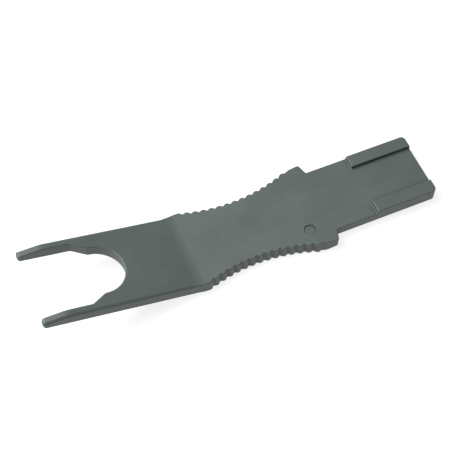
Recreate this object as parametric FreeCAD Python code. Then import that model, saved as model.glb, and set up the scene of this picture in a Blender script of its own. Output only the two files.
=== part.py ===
import FreeCAD, Part
import math
import os

# Fork tool moulded in one piece: a forked blade with two tines and a round
# seat, a waisted grip with ribbed sides, and a flat tail with two rails.
# Millimetres. X runs along the tool, tail towards +X and tines towards -X,
# Y across it, Z up. The grip lies flat on Z = 0, the blade rises from it
# towards the tines, and X = 0 is half way along the whole tool.

# ---- lengths along X, from the bend where blade and grip meet ----
GRIP_LENGTH = 36.5         # bend to the step of the shoulder
TAIL_LENGTH = 27.3         # step of the shoulder to the tail's end
FORK_LENGTH = 37.6         # bend to the ends of the tines, seen from above

# ---- widths across Y ----
FORK_WIDTH = 20.6
WAIST_WIDTH = 16.9         # over the rib crests at the narrowest place
SHOULDER_WIDTH = 23.6
TAIL_WIDTH = 17.9

# ---- heights ----
GRIP_THICKNESS = 3.8
TAIL_THICKNESS = 2.8       # the tail is flush with the top of the grip
FORK_ROOT_THICKNESS = 3.5
FORK_TINE_THICKNESS = 3.4
FORK_RISE_ANGLE = 15.0     # degrees between blade and grip
TOP_BEND_RADIUS = 10.0
BOTTOM_BEND_RADIUS = 25.0

# ---- fork gap ----
TINE_WIDTH = 1.8
TINE_LENGTH = 12.3         # straight inner side, from the end to the knee
THROAT_STEP = 3.6          # knee to throat corner, along X
SEAT_RADIUS = 6.4
SEAT_LEAD = 0.3            # straight throat wall before the round seat
KNEE_RADIUS = 1.5
THROAT_RADIUS = 0.5
TINE_END_FLAT = 0.2        # straight part left between the roundings of the end
TINE_RAMP_LENGTH = 6.0
TINE_RAMP_DROP = 1.5
TINE_RAMP_RADIUS = 6.0

# ---- ribbed sides of the grip ----
WAIST_RADIUS = 42.0
WAIST_FROM_BEND = 15.8
CHEEK_SWELL = 0.2          # smooth cheek stands out from the blade's side
CHEEK_START = -0.6         # where the blade's side starts to swell
CHEEK_CREST = 1.3
CHEEK_END = 2.95
CHEEK_START_RADIUS = 5.0
CHEEK_CREST_RADIUS = 3.0
CHEEK_END_RADIUS = 1.0
RIBS_START = 3.7           # first root, from the bend
RIBS_TO_SHOULDER = 5.0     # last root to the step of the shoulder
RIB_PITCH = 1.95
RIB_FLANK_ANGLE = 40.0     # degrees from the line of the crests
RIB_CREST_RADIUS = 1.0
RIB_ROOT_RADIUS = 0.3

# ---- shoulder ----
FLARE_LENGTH = 3.6
FLARE_RISE = 0.3
FLARE_RADIUS = 2.5
SHOULDER_SLANT = 0.85      # how far the outer corner stands back
SHOULDER_CORNER_RADIUS = 0.7
SHOULDER_INNER_RADIUS = 0.4
BELLY_RAMP_START = 4.2     # underside starts to climb, before the step
BELLY_RAMP_LENGTH = 3.2
BELLY_RAMP_RADIUS = 1.0

# ---- tail rails ----
RAIL_LENGTH = 16.3
RAIL_WIDTH = 3.45
RAIL_HEIGHT = 0.95
TAIL_CORNER_RADIUS = 1.2

# ---- round ejector mark in the top of the grip ----
MARK_DIAMETER = 3.1
MARK_DEPTH = 0.3
MARK_TO_SHOULDER = 6.2
MARK_TO_CENTRE = 6.6

# ---- soft edges ----
EDGE_RADIUS = 0.28
BLADE_EDGE_RADIUS = 0.7    # outer top edges of the blade, out to the tines
BLADE_EDGE_CREASE = 0.01   # keeps that rounding clear of exact tangency
RUN_OUT_START = 2.4        # where the rounding starts to fade, before the bend
RUN_OUT_RADIUS = 3.5
RUN_OUT_ANGLE = 40.0

# ---- places that follow from the sizes ----
TINE_END_RADIUS = (TINE_WIDTH - TINE_END_FLAT) / 2
OVERALL_LENGTH = FORK_LENGTH + GRIP_LENGTH + TAIL_LENGTH
BEND_X = FORK_LENGTH - OVERALL_LENGTH / 2
SHOULDER_X = BEND_X + GRIP_LENGTH
TAIL_X = SHOULDER_X + TAIL_LENGTH
TINE_X = BEND_X - FORK_LENGTH
KNEE_X = TINE_X + TINE_LENGTH
THROAT_X = KNEE_X + THROAT_STEP
SEAT_X = THROAT_X + SEAT_LEAD
RISE = math.tan(math.radians(FORK_RISE_ANGLE))
TALL = 100.0


def cut_corner(before, corner, after, radius):
    """Tangent length, unit vectors and arc points of one rounded corner."""
    back = (before - corner).normalize()
    ahead = (after - corner).normalize()
    half = back.getAngle(ahead) / 2
    reach = radius / math.tan(half)
    return reach, back, ahead, half


def rounded_wire(vertices):
    """Closed wire of lines and tangent arcs through (point, radius) vertices."""
    count = len(vertices)
    corners = []
    for i in range(count):
        before = vertices[i - 1][0]
        corner, radius = vertices[i]
        after = vertices[(i + 1) % count][0]
        corners.append([corner, *cut_corner(before, corner, after, radius)])
    scale = [1.0] * count
    for i in range(count):
        j = (i + 1) % count
        room = (corners[j][0] - corners[i][0]).Length
        wanted = corners[i][1] + corners[j][1]
        if wanted > room:
            scale[i] = min(scale[i], room / wanted)
            scale[j] = min(scale[j], room / wanted)
    edges = []
    ends = []
    for (corner, reach, back, ahead, half), share in zip(corners, scale):
        reach = reach * share
        start = corner + back * reach
        end = corner + ahead * reach
        radius = reach * math.tan(half)
        inward = (back + ahead).normalize()
        middle = corner + inward * (radius / math.sin(half) - radius)
        ends.append((start, middle, end))
    for i in range(count):
        start, middle, end = ends[i]
        if (end - start).Length > 1e-6:
            edges.append(Part.Arc(start, middle, end).toShape())
        following = ends[(i + 1) % count][0]
        if (following - end).Length > 1e-6:
            edges.append(Part.LineSegment(end, following).toShape())
    return Part.Wire(edges)


def crest_line(x):
    """Half width over the rib crests, on the waist's arc."""
    away = x - BEND_X - WAIST_FROM_BEND
    return WAIST_WIDTH / 2 + WAIST_RADIUS - math.sqrt(WAIST_RADIUS ** 2 - away ** 2)


def rib_vertices():
    """Roots and crests of one ribbed side, from the cheek to the shoulder."""
    first = BEND_X + RIBS_START
    last = SHOULDER_X - RIBS_TO_SHOULDER
    ribs = max(1, round((last - first) / RIB_PITCH))
    pitch = (last - first) / ribs
    flank = math.radians(RIB_FLANK_ANGLE)
    over = RIB_CREST_RADIUS * (1 / math.cos(flank) - 1)
    depth = pitch / 2 * math.tan(flank)
    points = []
    for i in range(ribs + 1):
        root = first + i * pitch
        points.append((root, crest_line(root) + over - depth, RIB_ROOT_RADIUS))
        if i < ribs:
            crest = root + pitch / 2
            points.append((crest, crest_line(crest) + over, RIB_CREST_RADIUS))
    return points


def side_vertices():
    """One side of the plan, from the seat round the tine to the tail's end."""
    fork = FORK_WIDTH / 2
    cheek = fork + CHEEK_SWELL
    shoulder = SHOULDER_WIDTH / 2
    tail = TAIL_WIDTH / 2
    return [
        (SEAT_X + SEAT_RADIUS, SEAT_RADIUS, SEAT_RADIUS),
        (THROAT_X, SEAT_RADIUS, THROAT_RADIUS),
        (KNEE_X, fork - TINE_WIDTH, KNEE_RADIUS),
        (TINE_X, fork - TINE_WIDTH, TINE_END_RADIUS),
        (TINE_X, fork, TINE_END_RADIUS),
        (BEND_X + CHEEK_START, fork, CHEEK_START_RADIUS),
        (BEND_X + CHEEK_CREST, cheek, CHEEK_CREST_RADIUS),
        (BEND_X + CHEEK_END, cheek, CHEEK_END_RADIUS),
        *rib_vertices(),
        (SHOULDER_X - FLARE_LENGTH, shoulder - FLARE_RISE, FLARE_RADIUS),
        (SHOULDER_X - SHOULDER_SLANT, shoulder, SHOULDER_CORNER_RADIUS),
        (SHOULDER_X, tail, SHOULDER_INNER_RADIUS),
        (TAIL_X, tail, TAIL_CORNER_RADIUS),
    ]


def plan_prism():
    """The whole outline as seen from above, far taller than the tool."""
    side = side_vertices()
    points = [(FreeCAD.Vector(x, y, -TALL), r) for x, y, r in side]
    points += [(FreeCAD.Vector(x, -y, -TALL), r) for x, y, r in reversed(side)]
    return Part.Face(rounded_wire(points)).extrude(FreeCAD.Vector(0, 0, 2 * TALL))


def profile_prism():
    """The outline as seen from the side, far wider than the tool."""
    top = GRIP_THICKNESS
    tine_top = top + FORK_LENGTH * RISE
    tine_bottom = tine_top - FORK_TINE_THICKNESS
    root_bottom = top - FORK_ROOT_THICKNESS
    belly_x = BEND_X + root_bottom * FORK_LENGTH / (tine_bottom - root_bottom)
    ramp_x = TINE_X + TINE_RAMP_LENGTH
    ramp_top = tine_top - TINE_RAMP_LENGTH * RISE
    climb_x = SHOULDER_X - BELLY_RAMP_START
    outline = [
        (TAIL_X, top, 0.0),
        (BEND_X, top, TOP_BEND_RADIUS),
        (ramp_x, ramp_top, TINE_RAMP_RADIUS),
        (TINE_X, tine_top - TINE_RAMP_DROP, TINE_END_RADIUS),
        (TINE_X, tine_bottom, TINE_END_RADIUS),
        (belly_x, 0.0, BOTTOM_BEND_RADIUS),
        (climb_x, 0.0, BELLY_RAMP_RADIUS),
        (climb_x + BELLY_RAMP_LENGTH, top - TAIL_THICKNESS, BELLY_RAMP_RADIUS),
        (TAIL_X, top - TAIL_THICKNESS, 0.0),
    ]
    points = [(FreeCAD.Vector(x, -TALL, z), r) for x, z, r in outline]
    return Part.Face(rounded_wire(points)).extrude(FreeCAD.Vector(0, 2 * TALL, 0))


def rails(plan):
    """Two rails along the edges of the tail, trimmed by the plan outline."""
    pieces = []
    for side in (-1, 1):
        inner = TAIL_WIDTH / 2 - RAIL_WIDTH
        low_y = inner if side > 0 else -TAIL_WIDTH
        blank = Part.makeBox(
            RAIL_LENGTH * 2,
            TAIL_WIDTH - inner,
            TAIL_THICKNESS / 2 + RAIL_HEIGHT,
            FreeCAD.Vector(TAIL_X - RAIL_LENGTH, low_y, GRIP_THICKNESS - TAIL_THICKNESS / 2),
        )
        pieces.append(blank.common(plan))
    return pieces


def ejector_mark():
    """Shallow round recess near one end of the shoulder."""
    place = FreeCAD.Vector(SHOULDER_X - MARK_TO_SHOULDER, -MARK_TO_CENTRE, GRIP_THICKNESS - MARK_DEPTH)
    return Part.makeCylinder(MARK_DIAMETER / 2, TALL, place)


def is_wall(face):
    """True for a face that stands straight up."""
    u_low, u_high, v_low, v_high = face.ParameterRange
    normal = face.normalAt((u_low + u_high) / 2, (v_low + v_high) / 2)
    return abs(normal.z) < 0.05


def is_outward(shape, edge, faces):
    """True where the two faces meet in a ridge, not in a groove."""
    point = edge.valueAt((edge.FirstParameter + edge.LastParameter) / 2)
    out = FreeCAD.Vector()
    for face in faces:
        out += face.normalAt(*face.Surface.parameter(point))
    return not shape.isInside(point + out.normalize() * EDGE_RADIUS / 10, 1e-6, True)


def soften(body):
    """Round every ridge between an upright wall and a top or bottom face."""
    ridges = []
    for edge in body.Edges:
        faces = body.ancestorsOfType(edge, Part.Face)
        if len(faces) != 2 or is_wall(faces[0]) == is_wall(faces[1]):
            continue
        if is_outward(body, edge, faces):
            ridges.append(edge)
    return body.makeFillet(EDGE_RADIUS, ridges)


def blade_edge_profile(side, place, ahead):
    """What the outer top edge of the blade loses, square to the way ahead."""
    radius = BLADE_EDGE_RADIUS
    up = FreeCAD.Vector(-ahead.z, 0, ahead.x)
    out = FreeCAD.Vector(0, side, 0)
    edge = place + out * (FORK_WIDTH / 2)
    centre = edge - (up + out) * (radius + BLADE_EDGE_CREASE)
    on_top = centre + up * radius
    on_side = centre + out * radius
    between = centre + (up + out).normalize() * radius
    far_top = on_top + up * (2 * radius)
    far_side = on_side + out * (2 * radius)
    corner = centre + (up + out) * (3 * radius)
    lines = [(on_side, far_side), (far_side, corner), (corner, far_top), (far_top, on_top)]
    edges = [Part.Arc(on_top, between, on_side).toShape()]
    edges += [Part.LineSegment(a, b).toShape() for a, b in lines]
    return Part.Face(Part.Wire(edges))


def blade_edge_cutter(side):
    """The profile run along the blade, from past the tine's end to the root."""
    top = GRIP_THICKNESS
    tine_top = top + FORK_LENGTH * RISE
    knuckle = FreeCAD.Vector(TINE_X + TINE_RAMP_LENGTH, 0, tine_top - TINE_RAMP_LENGTH * RISE)
    end = FreeCAD.Vector(TINE_X, 0, tine_top - TINE_RAMP_DROP)
    lift = FreeCAD.Vector(BEND_X - RUN_OUT_START, 0, top + RUN_OUT_START * RISE)
    climb = (knuckle - end).normalize()
    fall = (lift - knuckle).normalize()
    turn = climb.getAngle(fall)
    reach = TINE_RAMP_RADIUS * math.tan(turn / 2)
    begin = end - climb * TINE_RAMP_LENGTH
    start = knuckle - climb * reach
    finish = knuckle + fall * reach
    below = start - FreeCAD.Vector(-climb.z, 0, climb.x) * TINE_RAMP_RADIUS
    above = lift + FreeCAD.Vector(-fall.z, 0, fall.x) * RUN_OUT_RADIUS
    across = FreeCAD.Vector(0, 1, 0)
    swept = blade_edge_profile(side, begin, climb).extrude(start - begin)
    swept = swept.fuse([
        blade_edge_profile(side, start, climb).revolve(below, across, math.degrees(turn)),
        blade_edge_profile(side, finish, fall).extrude(lift - finish),
        blade_edge_profile(side, lift, fall).revolve(above, -across, RUN_OUT_ANGLE),
    ])
    return swept.removeSplitter()


def fork_tool_body():
    """The whole moulding: blade, grip, tail, rails and ejector mark."""
    plan = plan_prism()
    blank = plan.common(profile_prism()).fuse(rails(plan)).removeSplitter()
    softened = soften(blank.Solids[0])
    cutters = [blade_edge_cutter(-1), blade_edge_cutter(1), ejector_mark()]
    return softened.cut(cutters).Solids[0]


if __name__ == "__main__":
    os.makedirs("parts", exist_ok=True)
    fork_tool_body().exportStep("parts/fork_tool_body.step")
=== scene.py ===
import math

import bpy
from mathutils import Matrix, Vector


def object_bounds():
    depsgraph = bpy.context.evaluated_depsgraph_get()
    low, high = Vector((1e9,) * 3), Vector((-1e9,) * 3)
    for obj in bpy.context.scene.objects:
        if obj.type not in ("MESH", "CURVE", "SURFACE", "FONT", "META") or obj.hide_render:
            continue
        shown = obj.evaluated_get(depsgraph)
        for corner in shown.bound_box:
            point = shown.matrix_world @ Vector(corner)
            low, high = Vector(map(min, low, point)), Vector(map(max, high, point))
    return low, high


# Looks for the one-piece fork tool: satin moulded plastic on a pale floor.
# Metres, in the CAD part's own frame.

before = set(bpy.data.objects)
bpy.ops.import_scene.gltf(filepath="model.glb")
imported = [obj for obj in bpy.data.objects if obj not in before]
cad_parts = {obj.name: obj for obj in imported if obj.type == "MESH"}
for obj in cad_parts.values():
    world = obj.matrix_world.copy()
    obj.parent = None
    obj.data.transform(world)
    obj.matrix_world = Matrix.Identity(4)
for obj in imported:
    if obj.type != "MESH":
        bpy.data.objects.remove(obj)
CAD_LOW, CAD_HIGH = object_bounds()
BODY_NODE = "fork_tool_body"

# ---- camera ----
CAMERA_AZIMUTH = -23.19
CAMERA_ELEVATION = 58.23
CAMERA_DISTANCE = 0.2805
CAMERA_LENS = 92.68
AIM_FROM_MIDDLE = Vector((-0.0012, 0.00267, 0.0040))

# ---- light ----
WORLD_STRENGTH = 0.32
KEY_WATTS = 11.2
KEY_SIZE = 0.50
KEY_PLACE = Vector((-0.36, 0.22, 0.62))
FILL_WATTS = 0.3
FILL_SIZE = 0.60
FILL_PLACE = Vector((0.50, -0.25, 0.60))

# ---- colours ----
PLASTIC = (0.056, 0.073, 0.067)
PLASTIC_DARK = (0.050, 0.064, 0.057)
# lighter colour for flecks, worn edges and painted edge highlights
PLASTIC_WORN_AND_HIGHLIT = (0.115, 0.130, 0.122)
# painted shade: the dark colour laid into grooves and corners
PAINTED_SHADE_COLOUR = (0.026, 0.030, 0.025)
FLOOR_COLOUR = (0.20, 0.20, 0.195)
FLOOR_GLOW = 0.82
WHITE = (1.0, 1.0, 1.0, 1.0)

# ---- floor ----
FLOOR_SIZE = 3.0
FLOOR_DROP = 0.00005
FLOOR_ROUGHNESS = 0.75
FLOOR_SPECULAR = 0.2

# ---- noises of the plastic: scale, detail, roughness ----
CLOUDS = (95.0, 3.0, 0.55)
FLOW = (420.0, 2.0, 0.5)
SPECK = (2600.0, 2.0, 0.6)
GRAIN = (5200.0, 2.0, 0.55)
SCUFFS = (1500.0, 3.0, 0.65)
STREAK_STRETCH = (0.12, 1.0, 1.0)

# ---- wear with painted edge highlight, and painted shade in hollows ----
RIDGE_RADIUS = 0.00035
RIDGE_SAMPLES = 6
WEAR_AND_HIGHLIGHT_AMOUNT = 0.55
SHELTER_REACH = 0.0016
SHELTER_SAMPLES = 8
PAINTED_SHADE_AMOUNT = 0.85
FLECK_AMOUNT = 0.35

# ---- surface ----
ROUGHNESS_RANGE = (0.44, 0.54)
SCUFF_ROUGHNESS = 0.12
WEAR_POLISH = 0.12
PLASTIC_IOR = 1.50
PLASTIC_SPECULAR = 0.5
FINE_BUMP = (0.22, 0.00006)
SINK_BUMP = (0.30, 0.0004)


def aim(obj, target):
    """Turns a lamp or camera so that it looks at target."""
    obj.rotation_mode = "QUATERNION"
    obj.rotation_quaternion = (target - obj.location).to_track_quat("-Z", "Y")


def make_camera():
    middle = Vector(((CAD_LOW.x + CAD_HIGH.x) / 2, (CAD_LOW.y + CAD_HIGH.y) / 2, CAD_LOW.z))
    target = middle + AIM_FROM_MIDDLE
    a = math.radians(CAMERA_AZIMUTH)
    e = math.radians(CAMERA_ELEVATION)
    back = Vector((math.sin(a) * math.cos(e), -math.cos(a) * math.cos(e), math.sin(e)))
    data = bpy.data.cameras.new("camera")
    data.sensor_width = 36.0
    data.lens = CAMERA_LENS
    data.clip_start = 0.01
    data.clip_end = 10.0
    camera = bpy.data.objects.new("camera", data)
    bpy.context.scene.collection.objects.link(camera)
    camera.location = target + back * CAMERA_DISTANCE
    aim(camera, target)
    bpy.context.scene.camera = camera


def make_lamp(name, place, size, watts, target):
    data = bpy.data.lights.new(name, "AREA")
    data.shape = "SQUARE"
    data.size = size
    data.energy = watts
    lamp = bpy.data.objects.new(name, data)
    bpy.context.scene.collection.objects.link(lamp)
    lamp.location = place
    aim(lamp, target)


def make_light():
    world = bpy.data.worlds.new("studio")
    world.use_nodes = True
    background = world.node_tree.nodes["Background"]
    background.inputs["Color"].default_value = WHITE
    background.inputs["Strength"].default_value = WORLD_STRENGTH
    bpy.context.scene.world = world
    target = (CAD_LOW + CAD_HIGH) / 2
    make_lamp("key", KEY_PLACE, KEY_SIZE, KEY_WATTS, target)
    make_lamp("fill", FILL_PLACE, FILL_SIZE, FILL_WATTS, target)


class Nodes:
    """Short ways to add and join shader nodes."""

    def __init__(self, name):
        self.material = bpy.data.materials.new(name)
        self.material.use_nodes = True
        self.tree = self.material.node_tree
        self.shader = self.tree.nodes["Principled BSDF"]

    def add(self, kind, **inputs):
        node = self.tree.nodes.new(kind)
        for key, value in inputs.items():
            socket = node.inputs[key.replace("_", " ")]
            if isinstance(value, bpy.types.NodeSocket):
                self.tree.links.new(value, socket)
            else:
                socket.default_value = value
        return node

    def link(self, source, target):
        self.tree.links.new(source, target)

    def noise(self, place, kind):
        scale, detail, roughness = kind
        node = self.add("ShaderNodeTexNoise", Vector=place, Scale=scale)
        node.inputs["Detail"].default_value = detail
        node.inputs["Roughness"].default_value = roughness
        return node.outputs["Fac"]

    def bump(self, kind, **inputs):
        """A bump of the given strength and distance in metres."""
        node = self.add("ShaderNodeBump", **inputs)
        node.inputs["Strength"].default_value, node.inputs["Distance"].default_value = kind
        return node.outputs["Normal"]

    def span(self, value, low, high, to_low=0.0, to_high=1.0):
        """Maps low..high to to_low..to_high, clamped."""
        node = self.add("ShaderNodeMapRange")
        node.clamp = True
        self.link(value, node.inputs["Value"])
        node.inputs["From Min"].default_value = low
        node.inputs["From Max"].default_value = high
        node.inputs["To Min"].default_value = to_low
        node.inputs["To Max"].default_value = to_high
        return node.outputs["Result"]

    def math(self, operation, a, b):
        node = self.add("ShaderNodeMath")
        node.operation = operation
        for socket, value in zip(node.inputs, (a, b)):
            if isinstance(value, bpy.types.NodeSocket):
                self.link(value, socket)
            else:
                socket.default_value = value
        return node.outputs["Value"]

    def mix(self, amount, a, b):
        node = self.add("ShaderNodeMix")
        node.data_type = "RGBA"
        self.link(amount, node.inputs["Factor"])
        for socket, value in ((node.inputs[6], a), (node.inputs[7], b)):
            if isinstance(value, bpy.types.NodeSocket):
                self.link(value, socket)
            else:
                socket.default_value = (*value, 1.0)
        return node.outputs[2]


def ridge_mask(n):
    """1 on sharp ridges, where a rounded normal parts from the true one."""
    bevel = n.add("ShaderNodeBevel")
    bevel.samples = RIDGE_SAMPLES
    bevel.inputs["Radius"].default_value = RIDGE_RADIUS
    normal = n.add("ShaderNodeNewGeometry").outputs["Normal"]
    dot = n.add("ShaderNodeVectorMath")
    dot.operation = "DOT_PRODUCT"
    n.link(bevel.outputs["Normal"], dot.inputs[0])
    n.link(normal, dot.inputs[1])
    return n.span(dot.outputs["Value"], 0.995, 0.90)


def painted_shade_mask(n):
    """Painted shade in grooves, corners and the ejector mark, darker where occlusion is close."""
    shelter = n.add("ShaderNodeAmbientOcclusion")
    shelter.samples = SHELTER_SAMPLES
    shelter.only_local = True
    shelter.inputs["Distance"].default_value = SHELTER_REACH
    return n.math("MULTIPLY", n.span(shelter.outputs["AO"], 0.95, 0.60), PAINTED_SHADE_AMOUNT)


def plastic_material():
    n = Nodes("grey_plastic")
    place = n.add("ShaderNodeTexCoord").outputs["Object"]
    along = n.add("ShaderNodeMapping", Vector=place)
    along.inputs["Scale"].default_value = STREAK_STRETCH
    streaked = along.outputs["Vector"]

    clouds = n.noise(place, CLOUDS)
    flow = n.noise(streaked, FLOW)
    speck = n.noise(place, SPECK)
    grain = n.noise(place, GRAIN)
    scuffs = n.noise(streaked, SCUFFS)

    # wear and painted edge highlight are patchy, and there is none where painted shade lies
    painted_shade = painted_shade_mask(n)
    patchy = n.span(clouds, 0.35, 0.62, 0.25, 1.0)
    worn_and_highlit = n.math("MULTIPLY", n.math("MULTIPLY", ridge_mask(n), patchy), WEAR_AND_HIGHLIGHT_AMOUNT)
    worn_and_highlit = n.math("MULTIPLY", worn_and_highlit, n.math("SUBTRACT", 1.0, painted_shade))

    tone = n.math("ADD", n.math("MULTIPLY", clouds, 0.6), n.math("MULTIPLY", flow, 0.4))
    base = n.mix(n.span(tone, 0.36, 0.64), PLASTIC_DARK, PLASTIC)
    base = n.mix(n.span(speck, 0.62, 0.80, 0.0, FLECK_AMOUNT), base, PLASTIC_WORN_AND_HIGHLIT)
    # partly real edge wear, partly a painted highlight: sharp ridges are made lighter
    base = n.mix(worn_and_highlit, base, PLASTIC_WORN_AND_HIGHLIT)
    # painted shade: darkens grooves, corners and the ejector mark where occlusion is close
    base = n.mix(painted_shade, base, PAINTED_SHADE_COLOUR)
    n.link(base, n.shader.inputs["Base Color"])

    broad = n.span(clouds, 0.3, 0.7, *ROUGHNESS_RANGE)
    rough = n.math("ADD", broad, n.span(scuffs, 0.55, 0.75, 0.0, SCUFF_ROUGHNESS))
    polish = n.math("MULTIPLY", worn_and_highlit, WEAR_POLISH)
    n.link(n.math("SUBTRACT", rough, polish), n.shader.inputs["Roughness"])
    n.shader.inputs["IOR"].default_value = PLASTIC_IOR
    n.shader.inputs["Specular IOR Level"].default_value = PLASTIC_SPECULAR

    height = n.math("ADD", n.math("MULTIPLY", grain, 0.5), n.math("MULTIPLY", scuffs, 0.5))
    fine = n.bump(FINE_BUMP, Height=height)
    n.link(n.bump(SINK_BUMP, Height=clouds, Normal=fine), n.shader.inputs["Normal"])
    return n.material


def make_floor():
    bpy.ops.mesh.primitive_plane_add(size=FLOOR_SIZE, location=(0.0, 0.0, CAD_LOW.z - FLOOR_DROP))
    floor = bpy.context.active_object
    floor.name = "floor"
    n = Nodes("floor")
    n.shader.inputs["Base Color"].default_value = (*FLOOR_COLOUR, 1.0)
    n.shader.inputs["Roughness"].default_value = FLOOR_ROUGHNESS
    n.shader.inputs["Emission Color"].default_value = WHITE
    n.shader.inputs["Emission Strength"].default_value = FLOOR_GLOW
    n.shader.inputs["Specular IOR Level"].default_value = FLOOR_SPECULAR
    floor.data.materials.append(n.material)


def dress_body():
    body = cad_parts[BODY_NODE]
    body.data.materials.clear()
    body.data.materials.append(plastic_material())


make_camera()
make_light()
make_floor()
dress_body()
bpy.context.scene.view_settings.view_transform = "Standard"
bpy.context.scene.view_settings.look = "None"
